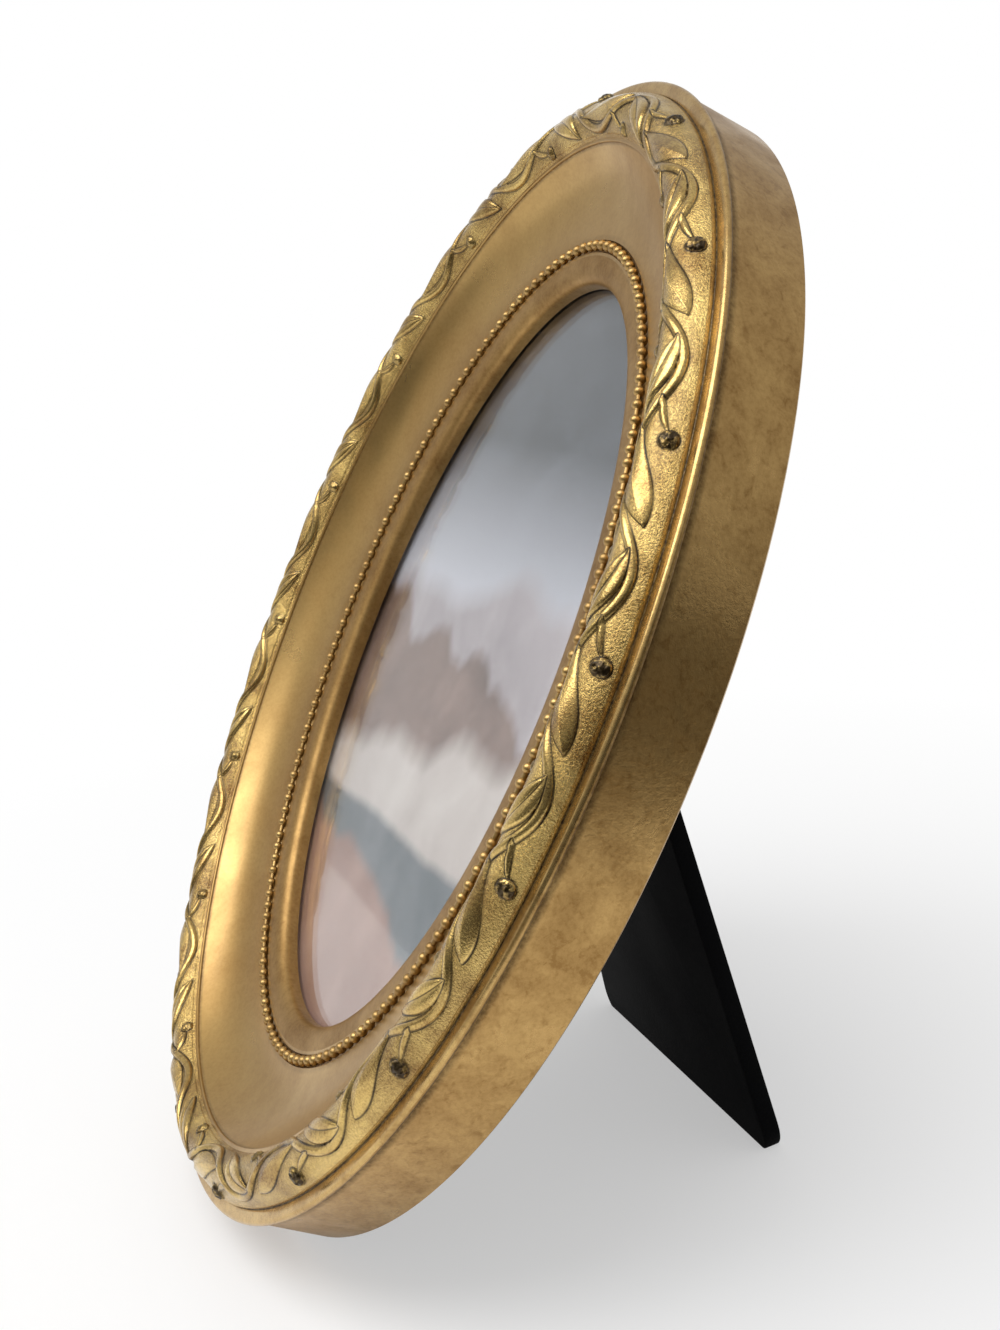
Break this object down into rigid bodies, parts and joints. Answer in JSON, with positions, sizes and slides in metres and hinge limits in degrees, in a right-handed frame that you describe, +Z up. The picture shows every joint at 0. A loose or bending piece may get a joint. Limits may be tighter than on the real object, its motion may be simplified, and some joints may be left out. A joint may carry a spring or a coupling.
{
  "type": "oval picture frame",
  "caption": "Oval gilt picture frame with a carved vine moulding and a beaded sight edge, glazed, leaning on a hinged easel strut, with turn buttons and a hanging ring.",
  "frame": {"origin": "on the table, under the middle of the whole object's box", "axes": "+Z up, the picture faces -Y and leans back, +X to the right as seen from the front"},
  "size_m": [0.1652, 0.12, 0.1925],
  "materials": {
    "gilt_resin": "antique gilding over cast resin",
    "bright_gilt": "rubbed gilding over moulded composition",
    "clear_glass": "polished",
    "photo_paper": "lustre",
    "grey_card": "uncoated",
    "black_board": "black paper over board",
    "nickelled_steel": "nickel plated",
    "brass_plate": "brass plated"
  },
  "bodies": {
    "frame": {"frame_moulding": "gilt_resin", "vine_garland": "bright_gilt", "bead_string": "bright_gilt", "glass_pane": "clear_glass", "photo_print": "photo_paper", "filler_card": "grey_card", "back_board": "black_board", "turn_button_screw_1": "nickelled_steel", "turn_button_screw_2": "nickelled_steel", "turn_button_screw_3": "nickelled_steel", "turn_button_screw_4": "nickelled_steel", "hinge_back_leaf": "nickelled_steel", "hinge_pin": "nickelled_steel", "hinge_back_rivet_1": "nickelled_steel", "hinge_back_rivet_2": "nickelled_steel", "hanger_screw": "brass_plate", "hanger_strap": "brass_plate"},
    "easel": {"strut": "black_board", "hinge_strut_leaf": "nickelled_steel", "hinge_strut_rivet_1": "nickelled_steel", "hinge_strut_rivet_2": "nickelled_steel"},
    "button_1": {"turn_button_1": "nickelled_steel"},
    "button_2": {"turn_button_2": "nickelled_steel"},
    "button_3": {"turn_button_3": "nickelled_steel"},
    "button_4": {"turn_button_4": "nickelled_steel"},
    "ring": {"hanger_ring": "brass_plate"}
  },
  "joints": [
    {"name": "easel_fold", "type": "hinge", "parent": "frame", "child": "easel", "pos_m": [0, 0.01986, 0.10943], "axis": [1, 0, 0], "range_deg": [-40, 0]},
    {"name": "button_1_turn", "type": "hinge", "parent": "frame", "child": "button_1", "pos_m": [0.03674, 0.04054, 0.14999], "axis": [0, 0.8696, -0.4937], "continuous": true},
    {"name": "button_2_turn", "type": "hinge", "parent": "frame", "child": "button_2", "pos_m": [0.03674, -0.02511, 0.03437], "axis": [0, 0.8696, -0.4937], "continuous": true},
    {"name": "button_3_turn", "type": "hinge", "parent": "frame", "child": "button_3", "pos_m": [-0.03674, -0.02511, 0.03437], "axis": [0, 0.8696, -0.4937], "continuous": true},
    {"name": "button_4_turn", "type": "hinge", "parent": "frame", "child": "button_4", "pos_m": [-0.03674, 0.04054, 0.14999], "axis": [0, 0.8696, -0.4937], "continuous": true},
    {"name": "ring_swing", "type": "hinge", "parent": "frame", "child": "ring", "pos_m": [0, 0.05761, 0.1754], "axis": [1, 0, 0], "range_deg": [-19, 145]}
  ]
}
